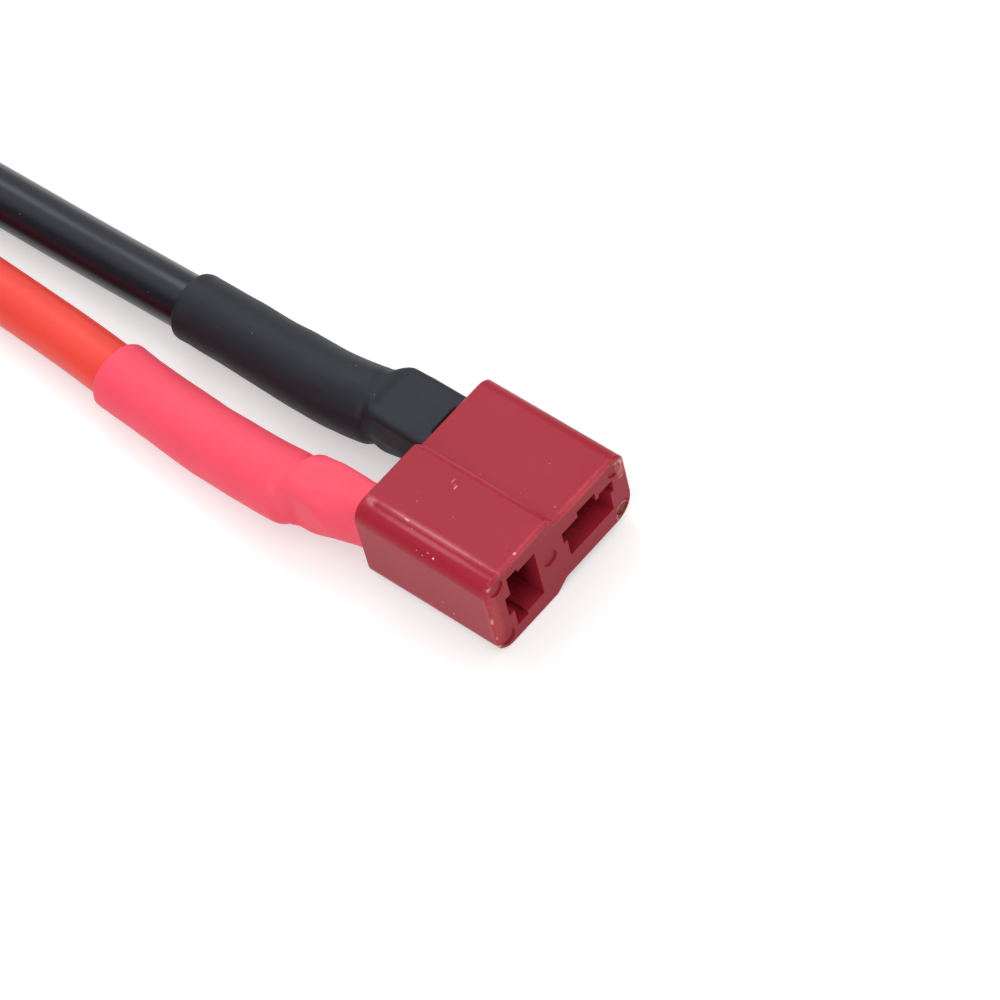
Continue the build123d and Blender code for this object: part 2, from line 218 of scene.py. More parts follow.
def smoothstep(low: float, high: float, value: float) -> float:
    """A smooth 0 to 1 ramp between two limits.

    Args:
        low: Where the ramp starts.
        high: Where it ends.
        value: Where it is read.

    Returns:
        The ramp's height, from 0 to 1.
    """
    share = min(max((value - low) / (high - low), 0.0), 1.0)
    return share * share * (3 - 2 * share)


class Graph:
    """A node tree with one short call for each new node."""

    def __init__(self, tree: bpy.types.NodeTree) -> None:
        """Starts the tree empty.

        Args:
            tree: The node tree to build in.
        """
        self.tree = tree
        self.tree.nodes.clear()

    def add(self, kind: str, inputs: dict | None = None, **settings) -> bpy.types.Node:
        """Adds one node.

        Args:
            kind: The node's type name.
            inputs: Values, or output sockets to link, by the input's name or number.
            settings: Properties of the node itself.

        Returns:
            The new node.
        """
        node = self.tree.nodes.new(kind)
        for key, value in settings.items():
            setattr(node, key, value)
        for key, value in (inputs or {}).items():
            if isinstance(value, bpy.types.NodeSocket):
                self.tree.links.new(value, node.inputs[key])
            else:
                node.inputs[key].default_value = value
        return node

    def calc(self, operation: str, *values, clamp: bool = False) -> bpy.types.NodeSocket:
        """Adds a Math node.

        Args:
            operation: The Math node's operation.
            values: Its inputs in order, numbers or sockets.
            clamp: Whether the result is held between 0 and 1.

        Returns:
            The result's socket.
        """
        node = self.add("ShaderNodeMath", dict(enumerate(values)), operation=operation, use_clamp=clamp)
        return node.outputs[0]

    def blend(self, factor, first, second) -> bpy.types.NodeSocket:
        """Mixes two colours.

        Args:
            factor: Share of the second colour, a number or a socket.
            first: First colour, a value or a socket.
            second: Second colour, a value or a socket.

        Returns:
            The mixed colour's socket.
        """
        node = self.add("ShaderNodeMix", {0: factor, 6: first, 7: second}, data_type="RGBA")
        return node.outputs[2]


class MaterialShop:
    """Makes the procedural materials, each one once."""

    TABLE_GLOW = 0.44
    # Noise values that stand for the two ends of a blend
    NOISE_LOW, NOISE_HIGH = 0.2, 0.8
    # Specks of dust: cells per millimetre, their radius in cells, and how much they cover
    SPECK_CELLS, SPECK_RADIUS, SPECK_COVER = 1.6, 0.055, 0.7
    # Patches rubbed paler, and the noise that frays the edges of worn spots and painted light marks, in
    # millimetres
    RUB_MM, FRAY_MM = 1.1, 0.35
    RUB_START, RUB_SPREAD, RUB_END = 0.75, 0.5, 0.8
    # Where a worn spot or painted light mark starts and where it is full, as shares of its reach
    SCUFF_START, SCUFF_FULL = 1.4, 0.3
    GRAIN_STRENGTH = 0.6
    # How far light scatters below a surface, and each colour's share of that
    SCATTER_MM = 0.8
    SCATTER_SHARES = (1.0, 0.25, 0.15)
    # Tarnish and drawn lines on metal
    TARNISH_MM, TARNISH_LOW, TARNISH_HIGH = 2.5, 0.4, 0.75
    DRAWN_STRETCH = (0.12, 1.0, 1.0)
    LINE_LOW, LINE_HIGH = 0.3, 0.7
    LINE_SMOOTHER, LINE_ROUGHER = 0.06, 0.08
    LINE_HEIGHT_MM, LINE_STRENGTH = 0.004, 0.35
    TABLE_PATCH_MM = 40.0

    def __init__(self) -> None:
        """Starts with no materials."""
        self.made: dict[str, bpy.types.Material] = {}

    def _start(self, name: str) -> tuple[bpy.types.Material, Graph, bpy.types.NodeSocket]:
        """Starts a node material.

        Args:
            name: The material's name.

        Returns:
            The material, its graph, and the surface point in millimetres.
        """
        material = bpy.data.materials.new(name)
        material.use_nodes = True
        graph = Graph(material.node_tree)
        place = graph.add("ShaderNodeTexCoord").outputs["Object"]
        point = graph.add("ShaderNodeVectorMath", {0: place, "Scale": 1 / MM}, operation="SCALE").outputs[0]
        self.made[name] = material
        return material, graph, point

    @staticmethod
    def _noise(graph: Graph, point, size_mm: float, detail: float = 3.0) -> bpy.types.NodeSocket:
        """Adds a noise texture of a real size.

        Args:
            graph: The graph to build in.
            point: The surface point in millimetres.
            size_mm: Size of the noise's features.
            detail: Its number of octaves.

        Returns:
            The noise's value socket.
        """
        node = graph.add("ShaderNodeTexNoise", {"Vector": point, "Scale": 1 / size_mm, "Detail": detail})
        return node.outputs["Fac"]

    def moulded(self, finish: Finish, scuffs_and_painted_light: tuple[ScuffOrPaintedLight, ...] = (), name: str = "",
                wear: float = 0.0) -> bpy.types.Material:
        """Makes a moulded or extruded plastic or rubber.

        Args:
            finish: Its colours, roughness and grain.
            scuffs_and_painted_light: Worn or stained spots, and patches of painted highlight and painted
                shade.
            name: The material's name, where it isn't the finish's.
            wear: Share of the surface that is rubbed paler, as on edges.

        Returns:
            The material.
        """
        material, graph, point = self._start(name or finish.name)
        patches = self._noise(graph, point, finish.patch_mm)
        share = graph.add(
            "ShaderNodeMapRange", {0: patches, 1: self.NOISE_LOW, 2: self.NOISE_HIGH}).outputs[0]
        colour = graph.blend(share, linear(finish.base), linear(finish.shade))
        if wear:
            rubbed = self._noise(graph, point, self.RUB_MM, 5.0)
            start = self.RUB_START - wear * self.RUB_SPREAD
            amount = graph.add("ShaderNodeMapRange", {0: rubbed, 1: start, 2: self.RUB_END, 4: wear})
            colour = graph.blend(amount.outputs[0], colour, linear(finish.dust))
        if scuffs_and_painted_light:
            frayed = self._noise(graph, point, self.FRAY_MM, 4.0)
            for scuff_or_light in scuffs_and_painted_light:
                colour = self._marked(graph, point, frayed, colour, scuff_or_light)
        cells = graph.add(
            "ShaderNodeTexVoronoi", {"Vector": point, "Scale": self.SPECK_CELLS, "Randomness": 1.0})
        near = graph.calc("LESS_THAN", cells.outputs["Distance"], self.SPECK_RADIUS)
        chance = graph.add("ShaderNodeSeparateColor", {0: cells.outputs["Color"]}).outputs[0]
        chosen = graph.calc("LESS_THAN", chance, finish.dust_amount)
        specks = graph.calc("MULTIPLY", near, chosen)
        cover = graph.calc("MULTIPLY", specks, self.SPECK_COVER)
        colour = graph.blend(cover, colour, linear(finish.dust))
        swing = finish.roughness_swing
        roughness = graph.add("ShaderNodeMapRange", {
            0: patches, 1: self.NOISE_LOW, 2: self.NOISE_HIGH,
            3: finish.roughness - swing, 4: finish.roughness + swing}).outputs[0]
        grain = self._noise(graph, point, finish.grain_mm, 4.0)
        bump = graph.add("ShaderNodeBump", {
            "Strength": self.GRAIN_STRENGTH, "Distance": finish.grain_height_mm * MM,
            "Height": grain}).outputs[0]
        shader = graph.add("ShaderNodeBsdfPrincipled", {
            "Base Color": colour, "Roughness": roughness, "Normal": bump,
            "Specular IOR Level": finish.specular, "Specular Tint": finish.tint,
            "Subsurface Weight": finish.subsurface,
            "Subsurface Scale": self.SCATTER_MM * MM, "Subsurface Radius": self.SCATTER_SHARES})
        graph.add("ShaderNodeOutputMaterial", {"Surface": shader.outputs[0]})
        return material

    def _marked(self, graph: Graph, point, frayed, colour, scuff_or_light: ScuffOrPaintedLight) -> bpy.types.NodeSocket:
        """Lays one worn or stained spot, or one patch of painted highlight or shade, over a colour.

        Args:
            graph: The graph to build in.
            point: The surface point in millimetres.
            frayed: The noise that frays its edge.
            colour: The colour so far.
            scuff_or_light: The spot or the patch of painted light.

        Returns:
            The colour with the spot or patch on it.
        """
        centred = graph.add(
            "ShaderNodeVectorMath", {0: point, 1: scuff_or_light.place_mm}, operation="SUBTRACT").outputs[0]
        scaled = graph.add(
            "ShaderNodeVectorMath", {0: centred, 1: scuff_or_light.stretch}, operation="DIVIDE").outputs[0]
        distance = graph.add(
            "ShaderNodeVectorMath", {0: scaled}, operation="LENGTH").outputs["Value"]
        if scuff_or_light.ring_mm:
            distance = graph.calc("ABSOLUTE", graph.calc("SUBTRACT", distance, scuff_or_light.ring_mm))
        spread = scuff_or_light.radius_mm * scuff_or_light.ragged
        uneven = graph.calc("MULTIPLY_ADD", frayed, spread, graph.calc("SUBTRACT", distance, spread / 2))
        reach = graph.add("ShaderNodeMapRange", {
            0: uneven, 1: scuff_or_light.radius_mm * self.SCUFF_START, 2: scuff_or_light.radius_mm * self.SCUFF_FULL,
            3: 0.0, 4: scuff_or_light.strength}, interpolation_type="SMOOTHSTEP").outputs[0]
        return graph.blend(reach, colour, linear(scuff_or_light.colour))

    def metal(self, name: str, base: str, shade: str, roughness: float,
              grain_mm: float) -> bpy.types.Material:
        """Makes a bare or plated metal with a fine drawn grain.

        Args:
            name: The material's name.
            base: Main colour, sRGB hex.
            shade: Colour where it is tarnished, sRGB hex.
            roughness: Mean roughness.
            grain_mm: Width of the drawn lines, in millimetres.

        Returns:
            The material.
        """
        material, graph, point = self._start(name)
        tarnish = self._noise(graph, point, self.TARNISH_MM, 4.0)
        share = graph.add(
            "ShaderNodeMapRange", {0: tarnish, 1: self.TARNISH_LOW, 2: self.TARNISH_HIGH}).outputs[0]
        colour = graph.blend(share, linear(base), linear(shade))
        drawn = graph.add(
            "ShaderNodeVectorMath", {0: point, 1: self.DRAWN_STRETCH}, operation="MULTIPLY").outputs[0]
        lines = self._noise(graph, drawn, grain_mm, 2.0)
        rough = graph.add("ShaderNodeMapRange", {
            0: lines, 1: self.LINE_LOW, 2: self.LINE_HIGH,
            3: roughness - self.LINE_SMOOTHER, 4: roughness + self.LINE_ROUGHER}).outputs[0]
        bump = graph.add("ShaderNodeBump", {
            "Strength": self.LINE_STRENGTH, "Distance": self.LINE_HEIGHT_MM * MM,
            "Height": lines}).outputs[0]
        shader = graph.add("ShaderNodeBsdfPrincipled", {
            "Base Color": colour, "Metallic": 1.0, "Roughness": rough, "Normal": bump})
        graph.add("ShaderNodeOutputMaterial", {"Surface": shader.outputs[0]})
        return material

    def floor(self) -> bpy.types.Material:
        """Makes the plain white table.

        Returns:
            The material.
        """
        material, graph, point = self._start("table")
        patches = self._noise(graph, point, self.TABLE_PATCH_MM)
        colour = graph.blend(patches, linear("#D6D5D4"), linear("#D2D1D1"))
        rays = graph.add("ShaderNodeLightPath").outputs
        seen = graph.calc("ADD", rays["Is Camera Ray"], rays["Is Glossy Ray"])
        seen = graph.calc("ADD", seen, rays["Is Transmission Ray"], clamp=True)
        shader = graph.add("ShaderNodeBsdfPrincipled", {
            "Base Color": colour, "Roughness": 0.6, "Specular IOR Level": 0.2,
            "Emission Color": (1, 1, 1, 1),
            "Emission Strength": graph.calc("MULTIPLY", seen, self.TABLE_GLOW)})
        graph.add("ShaderNodeOutputMaterial", {"Surface": shader.outputs[0]})
        return material


def new_object(name: str, mesh: bpy.types.Mesh) -> bpy.types.Object:
    """Puts a mesh in the scene as an object at the origin.

    Args:
        name: The object's name.
        mesh: Its mesh.

    Returns:
        The object.
    """
    piece = bpy.data.objects.new(name, mesh)
    bpy.context.scene.collection.objects.link(piece)
    return piece


def bake(piece: bpy.types.Object) -> bpy.types.Object:
    """Replaces an object by a mesh object with its modifiers applied.

    Args:
        piece: The object, a curve or a mesh.

    Returns:
        A new mesh object with the same name.
    """
    name = piece.name
    shape = bpy.data.meshes.new_from_object(piece.evaluated_get(bpy.context.evaluated_depsgraph_get()))
    bpy.data.objects.remove(piece)
    return new_object(name, shape)


class Lead:
    """One insulated lead: its strands and its jacket along one route."""

    STEPS = 16
    ROUND_STEPS = 10

    def __init__(self, way: Way, colour: str, route: list, seats: dict) -> None:
        """Keeps the lead's facts.

        Args:
            way: Which way of the connector it serves.
            colour: The word for its colour in its pieces' names.
            route: Its free route points, socket end first.
            seats: Its seat points on the tab at each end, the stripped end first.
        """
        self.way = way
        self.colour = colour
        start = (Vector(seats["socket"][1]) + Vector(route[0])) / 2
        end = (Vector(seats["plug"][1]) + Vector(route[-1])) / 2
        self.jacket_points = [start, *map(Vector, route), end]
        self.core_points = [*map(Vector, seats["socket"]), *map(Vector, route),
                            *map(Vector, reversed(seats["plug"]))]

    def _curve(self, name: str, points: list, radius: float) -> bpy.types.Object:
        """Makes a smooth curve with the given control points.

        Args:
            name: The curve's name.
            points: Its control points.
            radius: Its bevel's radius, or 0 for a bare line.

        Returns:
            The curve object.
        """
        data = bpy.data.curves.new(name, "CURVE")
        data.dimensions = "3D"
        data.resolution_u = self.STEPS
        spline = data.splines.new("NURBS")
        spline.points.add(len(points) - 1)
        for target, point in zip(spline.points, points):
            target.co = (*point, 1.0)
        spline.order_u = 3
        spline.use_endpoint_u = True
        data.bevel_depth = radius
        data.bevel_resolution = self.ROUND_STEPS
        data.use_fill_caps = radius > 0
        curve = bpy.data.objects.new(name, data)
        bpy.context.scene.collection.objects.link(curve)
        return curve

    def centreline(self) -> np.ndarray:
        """Reads the points of the whole route's smooth line.

        Returns:
            The points, one row each, socket end first.
        """
        line = self._curve(f"{self.colour}_line", self.core_points, 0.0)
        depsgraph = bpy.context.evaluated_depsgraph_get()
        mesh = bpy.data.meshes.new_from_object(line.evaluated_get(depsgraph))
        points = np.array([vertex.co for vertex in mesh.vertices])
        bpy.data.objects.remove(line)
        bpy.data.meshes.remove(mesh)
        return points

    def build(self, shop: MaterialShop) -> bpy.types.Object:
        """Makes the jacket and the strands, and lets them stand for the CAD solids.

        Args:
            shop: The materials.

        Returns:
            The jacket.
        """
        jacket = self._curve(f"{self.colour}_lead", self.jacket_points, JACKET_DIAMETER / 2 * MM)
        jacket.data.materials.append(shop.made[f"{self.colour}_silicone"])
        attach(jacket, "root")
        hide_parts(f"{self.way.value}_jacket")
        line = self._curve(f"{self.colour}_strands", self.core_points, 0.0)
        strands = StrandBundle(shop.made["tinned_copper"]).apply(line)
        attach(strands, "root")
        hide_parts(f"{self.way.value}_conductor")
        self.strands = strands
        return jacket


class StrandBundle:
    """Geometry Nodes that turn a line into a twisted bundle of round strands."""

    RINGS = 3
    TURN_MM = 40.0
    STEPS = 260
    STRAND_SIDES = 8

    def __init__(self, material: bpy.types.Material) -> None:
        """Builds the node tree.

        Args:
            material: The strands' material.
        """
        self.material = material
        self.tree = bpy.data.node_groups.new("strand_bundle", "GeometryNodeTree")
        face = self.tree.interface
        face.new_socket("Line", in_out="INPUT", socket_type="NodeSocketGeometry")
        face.new_socket("Strand Radius", in_out="INPUT", socket_type="NodeSocketFloat")
        face.new_socket("Turn Length", in_out="INPUT", socket_type="NodeSocketFloat")
        face.new_socket("Bundle", in_out="OUTPUT", socket_type="NodeSocketGeometry")
        graph = Graph(self.tree)
        given = graph.add("NodeGroupInput").outputs
        radius = given["Strand Radius"]
        line = graph.add(
            "GeometryNodeResampleCurve", {"Curve": given["Line"], "Count": self.STEPS}).outputs[0]
        along = graph.add("GeometryNodeSplineParameter").outputs["Length"]
        turns = graph.calc("DIVIDE", along, given["Turn Length"])
        tilt = graph.calc("MULTIPLY", turns, 2 * math.pi)
        twisted = graph.add("GeometryNodeSetCurveTilt", {"Curve": line, "Tilt": tilt}).outputs[0]
        strand = graph.add("GeometryNodeCurvePrimitiveCircle", {
            "Resolution": self.STRAND_SIDES, "Radius": radius}).outputs[0]
        join = graph.add("GeometryNodeJoinGeometry")
        self.tree.links.new(strand, join.inputs[0])
        for ring in range(1, self.RINGS):
            reach = graph.calc("MULTIPLY", radius, 2.0 * ring)
            circle = graph.add(
                "GeometryNodeMeshCircle", {"Vertices": 6 * ring, "Radius": reach}).outputs[0]
            placed = graph.add(
                "GeometryNodeInstanceOnPoints", {"Points": circle, "Instance": strand}).outputs[0]
            real = graph.add("GeometryNodeRealizeInstances", {"Geometry": placed}).outputs[0]
            self.tree.links.new(real, join.inputs[0])
        swept = graph.add("GeometryNodeCurveToMesh", {
            "Curve": twisted, "Profile Curve": join.outputs[0], "Fill Caps": True}).outputs[0]
        coated = graph.add("GeometryNodeSetMaterial", {"Geometry": swept, "Material": material}).outputs[0]
        graph.add("NodeGroupOutput", {"Bundle": coated})

    def apply(self, line: bpy.types.Object) -> bpy.types.Object:
        """Turns a line into its bundle.

        Args:
            line: The line, a curve object.

        Returns:
            The bundle, a mesh object with the line's name.
        """
        modifier = line.modifiers.new("strands", "NODES")
        modifier.node_group = self.tree
        strand_radius = CONDUCTOR_DIAMETER * MM / (4 * self.RINGS - 2)
        values = {"Strand Radius": strand_radius, "Turn Length": self.TURN_MM * MM}
        for item in self.tree.interface.items_tree:
            if item.name in values and item.in_out == "INPUT":
                modifier[item.identifier] = values[item.name]
        line.update_tag()
        return bake(line)


@dataclass(frozen=True)
class SleeveShape:
    """Where one sleeve lies and how it is shrunk, in millimetres.

    Attributes:
        way: The way it covers.
        end: The end of the cable it is on.
        colour: The word for its colour in its piece's name.
        origin: The middle of its tab on the housing's rear face.
        across: Direction of the tab's width.
        out: Direction from the tab to the conductor.
        seat: Distance from the way's centre to the tab's soldered face.
        length: Its length from the housing's rear face, along the lead.
        corner: Radius of its corners beside the tab's bare face.
        flare: How much wider it is at the housing.
        shoulder: Radius of those corners at the neck.
        splay: How much wider it is on the conductor's side.
        neck_dip: Depth of the crease at its neck.
        drop: How much lower its conductor's side is at the housing.
        mouth_corner: Radius of its corners on the conductor's side at the housing.
        neck_radius: Its outer radius on the lead just after the neck.
        end_radius: Its outer radius at its free end.
        slump: How far it lies off the lead's centre just after the neck.
        mouth_gap: How far its mouth stands back over the tab's bare face.
    """

    way: Way
    end: End
    colour: str
    origin: tuple[float, float, float]
    across: tuple[float, float, float]
    out: tuple[float, float, float]
    seat: float
    length: float
    corner: float = 0.6
    flare: float = 0.0
    shoulder: float = 1.3
    splay: float = 0.0
    neck_dip: float = 0.34
    drop: float = 0.8
    mouth_corner: float = 2.6
    neck_radius: float = 2.86
    end_radius: float = 2.78
    slump: tuple[float, float, float] = (0.0, 0.0, 0.0)
    mouth_gap: float = 0.0


@dataclass(frozen=True)
class Section:
    """A sleeve's outer cross-section, in millimetres.

    Attributes:
        width: Half its width.
        tab_height: Its height from its middle to the tab's bare face.
        out_height: Its height from its middle to the conductor's side.
        tab_corner: Radius of its corners on the tab's side.
        out_corner: Radius of its corners on the conductor's side.
    """

    width: float
    tab_height: float
    out_height: float
    tab_corner: float
    out_corner: float


class Sleeve:
    """A heat-shrink sleeve: boxy over the soldered tab, then a neck, then round on the lead."""

    SIDES = 112
    HUMP_STEP = 0.22
    TUBE_STEP = 0.4
    MOUTH = 0.1
    HUMP_END = 6.5
    NECK_END = 7.7
    TAB_HALF_WIDTH = 2.25
    TAB_THICKNESS = 1.1
    SOLDER_RISE = 2.45
    SLACK = 0.07
    SNUG_RADIUS = 2.73
    HUMP_CORNER = 1.0
    MOUTH_REACH = 2.5
    # Spans along the sleeve over which its section changes
    FLARE_SPAN = (1.0, 5.5)
    DROP_SPAN = (0.2, 3.6)
    CORNER_SPAN = (2.4, 5.6)
    SHOULDER_SPAN = (4.2, 6.4)
    # Spans across the mouth, and out from its middle, over which it stands back
    GAP_LEFT, GAP_RIGHT, GAP_DEPTH = (-2.3, -1.1), (1.3, 2.3), (1.0, 2.0)
    # The crease before the neck and the swollen lip before the free end: how far back, how long
    CREASE_BACK, CREASE_LENGTH = 0.45, 0.4
    LIP_BACK, LIP_LENGTH, LIP_HEIGHT = 0.5, 0.45, 0.05
    # Unevenness of the skin: height, then how often it repeats around and along
    LUMPS = (0.05, 1.3, 0.35)
    RIPPLES = (0.02, 4, 0.9)
    # Unevenness of the two ends: how often it repeats around, how far in it reaches, and each
    # end's height and lean
    WAVES, WAVE_REACH = 1.2, 1.2
    MOUTH_WAVE, END_WAVE = (0.14, 0.4), (0.12, -0.5)
    # How far the direction of the lead is read ahead and behind
    LOOK = 0.6
    # Share of a fatter tube's excess that lifts it off the table
    LIFT_SHARE = 0.8
    # The rounded rims of the wall: distance from the end and depth below the skin
    OUTER_RIM = ((0.0, 0.16), (0.05, 0.05), (0.16, 0.0))
    INNER_RIM = ((0.0, 0.1), (0.08, 0.0))
    LIP_STOPS = (0.75, 0.5, 0.3)

    def __init__(self, shape: SleeveShape, line: np.ndarray) -> None:
        """Keeps the sleeve's facts.

        Args:
            shape: Where it lies and how it is shrunk.
            line: The lead's smooth centre line, in metres, socket end first.
        """
        self.shape = shape
        self.origin = Vector(shape.origin)
        self.across = Vector(shape.across)
        self.out = Vector(shape.out)
        self.away = self.across.cross(self.out)
        self.low, self.high = (np.array(corner) / MM for corner in CAD_BOX)
        ordered = line / MM if shape.end is End.SOCKET else line[::-1] / MM
        travelled = (ordered - np.array(self.origin)) @ np.array(self.away)
        start = int(np.argmax(travelled > self.HUMP_END))
        steps = np.linalg.norm(np.diff(ordered[start:], axis=0), axis=1)
        travelled[start + 1:] = travelled[start] + np.cumsum(steps)
        self.travelled, self.line = travelled, ordered

    def _lead_at(self, along: float) -> Vector:
        """Finds the lead's centre.

        Args:
            along: Distance from the housing's rear face.

        Returns:
            The place, in millimetres.
        """
        return Vector([np.interp(along, self.travelled, self.line[:, axis]) for axis in range(3)])

    def _middle(self, along: float) -> tuple[Vector, Vector]:
        """Finds the sleeve's middle: over the tab first, then on the lead.

        Args:
            along: Distance from the housing's rear face.

        Returns:
            The middle, in millimetres, and the sleeve's direction there.
        """
        share = smoothstep(self.HUMP_END - 0.3, self.NECK_END, along)
        rise = self.shape.seat + (self.SOLDER_RISE - self.TAB_THICKNESS) / 2
        hump = self.origin + self.out * rise + self.away * along
        ahead = (self._lead_at(along + self.LOOK) - self._lead_at(along - self.LOOK)).normalized()
        slack = 1 - smoothstep(self.NECK_END, self.shape.length, along)
        lift = Vector((0, 0, self.LIFT_SHARE * (self._tube_radius(along) - self.SNUG_RADIUS)))
        lead = self._lead_at(along) + Vector(self.shape.slump) * slack + lift
        return hump.lerp(lead, share), self.away.lerp(ahead, share).normalized()

    def _tube_radius(self, along: float) -> float:
        """Gives the outer radius on the lead.

        Args:
            along: Distance from the housing's rear face.

        Returns:
            The radius, in millimetres.
        """
        shape = self.shape
        share = smoothstep(self.NECK_END, shape.length, along)
        return shape.neck_radius + (shape.end_radius - shape.neck_radius) * share

    def _section(self, along: float) -> Section:
        """Gives the outer cross-section at a distance along the sleeve.

        Args:
            along: Distance from the housing's rear face.

        Returns:
            The cross-section.
        """
        wall = SLEEVE_WALL + self.SLACK
        width = self.TAB_HALF_WIDTH + wall + self.shape.flare * (1 - smoothstep(*self.FLARE_SPAN, along))
        height = (self.TAB_THICKNESS + self.SOLDER_RISE) / 2 + wall
        lowered = height - self.shape.drop * (1 - smoothstep(*self.DROP_SPAN, along))
        mouth, first = self.shape.mouth_corner, self.shape.corner
        corner = mouth + (self.HUMP_CORNER - mouth) * smoothstep(*self.CORNER_SPAN, along)
        shoulder = first + (self.shape.shoulder - first) * smoothstep(*self.SHOULDER_SPAN, along)
        from_crease = (along - self.NECK_END + self.CREASE_BACK) / self.CREASE_LENGTH
        dip = self.shape.neck_dip * math.exp(-from_crease ** 2)
        tube = self._tube_radius(along) - dip
        share = smoothstep(self.HUMP_END - 0.4, self.NECK_END, along)
        hump = (width, height, lowered, shoulder, corner)
        return Section(*(size + (tube - size) * share for size in hump))

    def _set_back(self, across: float, out: float) -> float:
        """Finds how far the mouth's edge stands back.

        Args:
            across: A point's place across the sleeve.
            out: Its place out from the sleeve's middle.

        Returns:
            The distance, in millimetres.
        """
        over_tab = smoothstep(*self.GAP_LEFT, across) * (1 - smoothstep(*self.GAP_RIGHT, across))
        return self.shape.mouth_gap * over_tab * smoothstep(*self.GAP_DEPTH, -out)

    def _ring(self, along: float, inset: float) -> list[Vector]:
        """Lays the points of one ring.

        Args:
            along: Distance from the housing's rear face.
            inset: How far inside the outer skin the ring lies.

        Returns:
            The ring's points, in millimetres.
        """
        centre, tangent = self._middle(along)
        section = self._section(along)
        across = (self.across - tangent * self.across.dot(tangent)).normalized()
        out = tangent.cross(across)
        lump, lumps_around, lumps_along = self.LUMPS
        ripple, ripples_around, ripples_along = self.RIPPLES
        mouth_wave, mouth_lean = self.MOUTH_WAVE
        end_wave, end_lean = self.END_WAVE
        seed = Vector((self.shape.origin[0], self.shape.origin[1], along * lumps_along))
        to_end = self.shape.length - along
        splay = self.shape.splay / section.width
        splay *= 1 - smoothstep(self.HUMP_END - 1.0, self.NECK_END, along)
        ring = []
        for i in range(self.SIDES):
            angle = 2 * math.pi * i / self.SIDES
            x, y = math.cos(angle), math.sin(angle)
            height, corner = ((section.out_height, section.out_corner) if y >= 0
                              else (section.tab_height, section.tab_corner))
            reach = self._reach(
                abs(x), abs(y), section.width - inset, height - inset, max(corner - inset, 0.2))
            reach += lump * noise.noise(seed + Vector((x * lumps_around, y * lumps_around, 0)))
            reach += ripple * noise.noise(
                Vector((x * ripples_around, y * ripples_around, along * ripples_along)))
            reach += self.LIP_HEIGHT * math.exp(-((to_end - self.LIP_BACK) / self.LIP_LENGTH) ** 2)
            shift = self._set_back(x * reach, y * reach)
            shift *= 1 - smoothstep(0.0, self.MOUTH_REACH, along)
            edge = noise.noise(Vector((x * self.WAVES, y * self.WAVES, self.origin[1])))
            shift += mouth_wave * (edge + mouth_lean) * (1 - smoothstep(0.0, self.WAVE_REACH, along))
            shift += end_wave * (edge + end_lean) * (1 - smoothstep(0.0, self.WAVE_REACH, to_end))
            wider = 1 + splay * min(max(1 + y * reach / section.tab_height, 0.0), 1.0)
            place = centre + (across * x * wider + out * y) * reach + tangent * shift
            ring.append(Vector(np.clip(place, self.low, self.high)))
        return ring

    @staticmethod
    def _reach(x: float, y: float, width: float, height: float, corner: float) -> float:
        """Distance from the middle to a rounded rectangle's edge.

        Args:
            x: The direction's share across, 0 or more.
            y: Its share out, 0 or more.
            width: The rectangle's half width.
            height: Its half height.
            corner: Its corners' radius.

        Returns:
            The distance.
        """
        flat = min(width / max(x, 1e-9), height / max(y, 1e-9))
        round_x, round_y = min(corner, width), min(corner, height)
        corner_x, corner_y = width - round_x, height - round_y
        if x * flat <= corner_x or y * flat <= corner_y:
            return flat
        slope = (x / round_x) ** 2 + (y / round_y) ** 2
        toward = x * corner_x / round_x ** 2 + y * corner_y / round_y ** 2
        aside = (corner_x / round_x) ** 2 + (corner_y / round_y) ** 2 - 1
        return (toward + math.sqrt(max(toward * toward - slope * aside, 0.0))) / slope

    def _stops(self) -> list[tuple[float, float]]:
        """Lists the rings of the closed skin in order: out along the outside, back along the inside.

        Returns:
            Each ring's distance along the sleeve and its inset.
        """
        first, last = self.MOUTH, self.shape.length
        hump = np.arange(first + 0.4, self.NECK_END + 1.0, self.HUMP_STEP)
        tube = np.arange(self.NECK_END + 1.2, last - 0.8, self.TUBE_STEP)
        body = [*hump, *tube, *(last - back for back in self.LIP_STOPS)]
        outside = [*((first + back, depth) for back, depth in self.OUTER_RIM),
                   *((along, 0.0) for along in body),
                   *((last - back, depth) for back, depth in reversed(self.OUTER_RIM))]
        wall = SLEEVE_WALL
        inside = [*((last - back, wall - depth) for back, depth in self.INNER_RIM),
                  *((along, wall) for along in reversed(body)),
                  *((first + back, wall - depth) for back, depth in reversed(self.INNER_RIM))]
        return outside + inside

    def build(self, shop: MaterialShop) -> bpy.types.Object:
        """Makes the sleeve as one closed skin, and lets it stand for the CAD solid.

        Args:
            shop: The materials.

        Returns:
            The sleeve.
        """
        rings = [self._ring(along, inset) for along, inset in self._stops()]
        mesh = bpy.data.meshes.new(f"{self.shape.colour}_sleeve_{self.shape.end.value}")
        shell = bmesh.new()
        rows = [[shell.verts.new(point * MM) for point in ring] for ring in rings]
        for row, following in zip(rows, rows[1:] + rows[:1]):
            for i in range(self.SIDES):
                j = (i + 1) % self.SIDES
                shell.faces.new((row[i], following[i], following[j], row[j]))
        bmesh.ops.recalc_face_normals(shell, faces=shell.faces)
        for surface in shell.faces:
            surface.smooth = True
        shell.to_mesh(mesh)
        shell.free()
        piece = new_object(mesh.name, mesh)
        mesh.materials.append(shop.made[f"{self.shape.colour}_sleeve"])
        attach(piece, "root")
        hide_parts(f"{self.shape.end.value}_sleeve_{self.shape.way.value}")
        return piece


